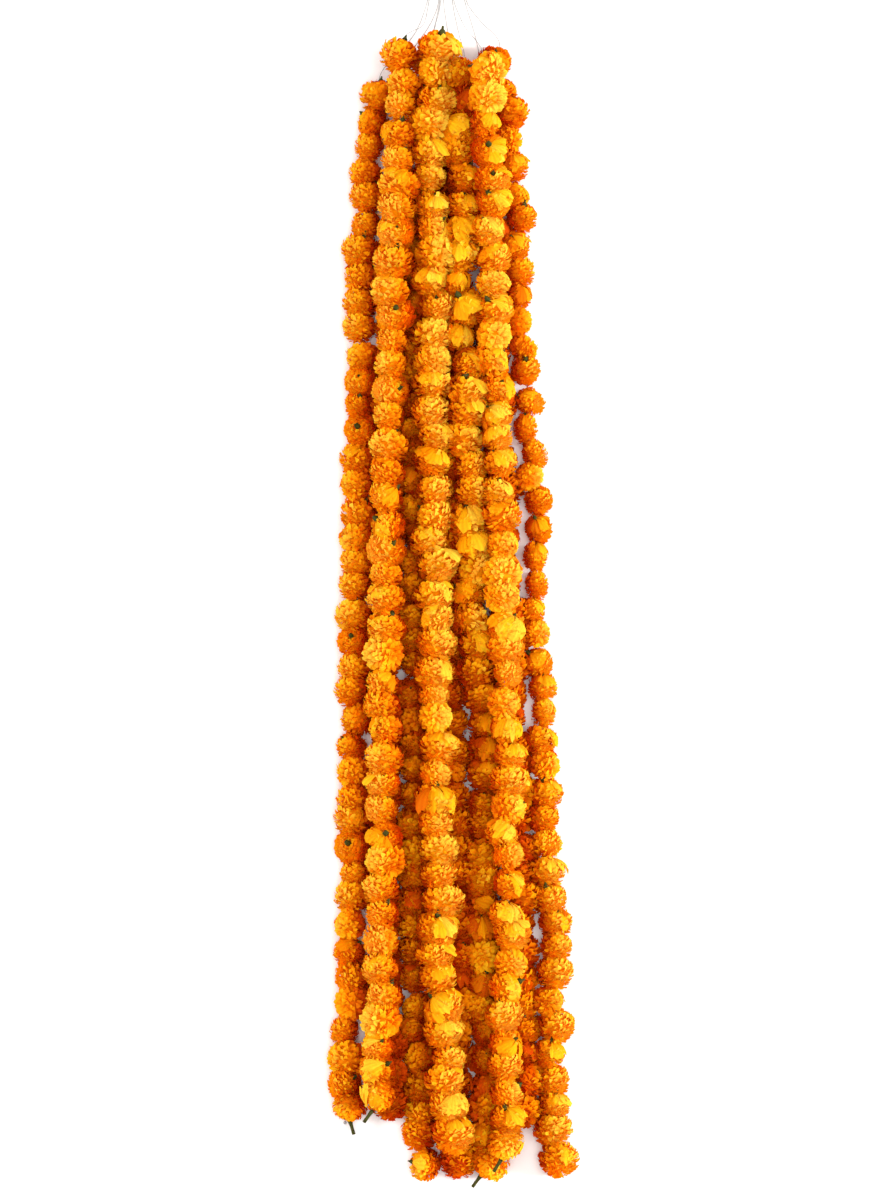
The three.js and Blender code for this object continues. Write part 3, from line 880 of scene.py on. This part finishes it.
def loop_ways():
    """The ways of the loop's two threads and their thickness. Both are screw lines on a ring, half a
    turn apart."""
    middle, half = middle_and_half("hanging_loop")
    ply = half[2] / 2
    turn = np.linspace(0, 2 * np.pi, 12 * LOOP_TWISTS, endpoint=False)
    ways = []
    for start in (0, np.pi):
        twist = LOOP_TWISTS * turn + start
        ring = half[0] - 2 * ply + ply * np.cos(twist)
        points = np.stack([ring * np.cos(turn), ring * np.sin(turn), ply * np.sin(twist)], axis=1)
        ways.append((middle + points, 1))
    return ways, 2.1 * ply


def thread_piece(name, ways, thickness, material, closed=False):
    """A curve piece of round threads: ways are lists of points, each with the threads' widths there as
    factors on the thickness. A closed thread joins its last point to its first."""
    curve = bpy.data.curves.new(name, "CURVE")
    curve.dimensions = "3D"
    curve.bevel_depth = thickness / 2
    curve.bevel_resolution = 3
    curve.use_fill_caps = not closed
    for points, widths in ways:
        spline = curve.splines.new("POLY")
        spline.points.add(len(points) - 1)
        spline.points.foreach_set("co", np.c_[points, np.ones(len(points))].ravel())
        spline.points.foreach_set("radius", np.broadcast_to(widths, len(points)).copy())
        spline.use_cyclic_u = closed
    curve.materials.append(material)
    piece = bpy.data.objects.new(name, curve)
    bpy.context.collection.objects.link(piece)
    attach(piece, "root")
    return piece


class GARLAND_OT_tails(bpy.types.Operator):
    """Lay the free tails of the threads from the strings to the knot"""
    bl_idname = "garland.tails"
    bl_label = "Thread tails"

    def execute(self, context):
        settings = context.scene.garland_threads
        material = kept_material("cotton_thread", cotton_material, settings)
        for number, (length, way) in enumerate(TAILS, start=1):
            label = f"strand_{number:02d}"
            start, knot = tail_end(label, False), tail_end(label, True)
            points = smooth_points([start, *(np.array(way) * MM), knot], TAIL_STEPS)
            tail = thread_piece(f"{label}_tail_thread", [(points, 1)], settings.diameter, material)
            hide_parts(f"{label}_tail")
        return {"FINISHED"}


class GARLAND_OT_inner_threads(bpy.types.Operator):
    """Give the threads inside the strings their cotton"""
    bl_idname = "garland.inner_threads"
    bl_label = "Inner threads"

    def execute(self, context):
        settings = context.scene.garland_threads
        material = kept_material("cotton_thread", cotton_material, settings)
        for number in range(1, STRINGS + 1):
            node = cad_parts[f"strand_{number:02d}_thread"]
            node.data.materials.clear()
            node.data.materials.append(material)
        return {"FINISHED"}


class GARLAND_OT_knot(bpy.types.Operator):
    """Bind the tails with wraps of thread and twist the hanging loop from two threads"""
    bl_idname = "garland.knot"
    bl_label = "Knot and loop"

    def execute(self, context):
        settings = context.scene.garland_threads
        material = kept_material("cotton_thread", cotton_material, settings)
        knot = thread_piece("tie_knot_wraps", knot_ways(), KNOT_THREAD, material)
        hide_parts("tie_knot")
        ways, thickness = loop_ways()
        loop = thread_piece("hanging_loop_twist", ways, thickness, material, closed=True)
        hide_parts("hanging_loop")
        return {"FINISHED"}


class GARLAND_OT_greens(bpy.types.Operator):
    """Give every head its green cup, and four strings their cut stems"""
    bl_idname = "garland.greens"
    bl_label = "Green cups and stems"

    def execute(self, context):
        settings = context.scene.garland_greens
        material = kept_material("green_cups", green_material, settings)
        blossoms = context.scene.garland_blossoms
        for number in range(1, STRINGS + 1):
            corners, *faces = green_cups(number, blossoms, settings)
            cups = mesh_piece(f"strand_{number:02d}_calyxes", corners, faces, material)
        for number in STEMMED:
            corners, *faces = cut_stem(number)
            stem = mesh_piece(f"strand_{number:02d}_cut_stem", corners, faces, material)
            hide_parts(f"strand_{number:02d}_end_stem")
        return {"FINISHED"}


class GARLAND_OT_petals(bpy.types.Operator):
    """Grow the petals of every head on the strings"""
    bl_idname = "garland.petals"
    bl_label = "Petals"

    def execute(self, context):
        settings = context.scene.garland_blossoms
        material = kept_material("marigold_petals", petal_material, settings)
        heads = [dressed_heads(number, settings).centre for number in range(1, STRINGS + 1)]
        for number in range(1, STRINGS + 1):
            others = np.concatenate(heads[:number - 1] + heads[number:])
            corners, faces, places = string_of_petals(number, others, settings)
            piece = mesh_piece(f"strand_{number:02d}_petals", corners, faces, material, places)
            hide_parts(f"strand_{number:02d}_blossoms")
        return {"FINISHED"}


class GARLAND_OT_stage(bpy.types.Operator):
    """Make the camera, the soft lights and the plain floor"""
    bl_idname = "garland.stage"
    bl_label = "Stage"

    def execute(self, context):
        settings = context.scene.garland_stage
        scene = context.scene
        scene.view_settings.view_transform = "Standard"
        camera = bpy.data.objects.new("camera", bpy.data.cameras.new("camera"))
        context.collection.objects.link(camera)
        camera.location = (*VIEW_CENTRE, VIEW_HEIGHT)
        camera.data.lens = camera.data.sensor_width * (VIEW_HEIGHT - VIEW_MIDDLE) / VIEW_LENGTH
        camera.data.clip_end = 50
        scene.camera = camera

        floor = bpy.data.meshes.new("floor")
        corners = [(FLOOR_HALF * x, FLOOR_HALF * y, 0) for x, y in ((-1, -1), (1, -1), (1, 1), (-1, 1))]
        floor.from_pydata(corners, [], [(0, 1, 2, 3)])
        floor.materials.append(floor_material(settings))
        ground = bpy.data.objects.new("floor", floor)
        context.collection.objects.link(ground)

        for name, place, softness, power in LIGHTS:
            light = bpy.data.lights.new(name, "SUN")
            light.angle = math.radians(softness)
            light.energy = power * settings.light
            lamp = bpy.data.objects.new(name, light)
            lamp.location = place
            lamp.rotation_euler = (0, math.atan2(place[0], place[2]), 0)
            context.collection.objects.link(lamp)
        world = bpy.data.worlds.new("room")
        world.use_nodes = True
        background = world.node_tree.nodes["Background"]
        background.inputs["Color"].default_value = (1, 1, 1, 1)
        background.inputs["Strength"].default_value = ROOM_LIGHT * settings.light
        scene.world = world
        return {"FINISHED"}


class GARLAND_PT_panel(bpy.types.Panel):
    bl_label = "Garland"
    bl_idname = "GARLAND_PT_panel"
    bl_space_type = "VIEW_3D"
    bl_region_type = "UI"
    bl_category = "Garland"

    def draw(self, context):
        for settings in SETTINGS:
            group = getattr(context.scene, settings)
            for name in group.bl_rna.properties.keys():
                if name not in ("rna_type", "name"):
                    self.layout.prop(group, name)
        for operator in OPERATORS:
            self.layout.operator(operator.bl_idname)


SETTINGS = {
    "garland_blossoms": BlossomSettings,
    "garland_greens": GreenSettings,
    "garland_threads": ThreadSettings,
    "garland_stage": StageSettings,
}
OPERATORS = (
    GARLAND_OT_stage,
    GARLAND_OT_tails,
    GARLAND_OT_inner_threads,
    GARLAND_OT_knot,
    GARLAND_OT_petals,
    GARLAND_OT_greens,
)


def register():
    for item in (*SETTINGS.values(), *OPERATORS, GARLAND_PT_panel):
        bpy.utils.register_class(item)
    for name, item in SETTINGS.items():
        setattr(bpy.types.Scene, name, bpy.props.PointerProperty(type=item))


def unregister():
    for name in SETTINGS:
        delattr(bpy.types.Scene, name)
    for item in reversed((*SETTINGS.values(), *OPERATORS, GARLAND_PT_panel)):
        bpy.utils.unregister_class(item)


def main():
    register()
    bpy.ops.garland.stage()
    bpy.ops.garland.tails()
    bpy.ops.garland.inner_threads()
    bpy.ops.garland.knot()
    bpy.ops.garland.petals()
    bpy.ops.garland.greens()


if __name__ == "__main__":
    main()
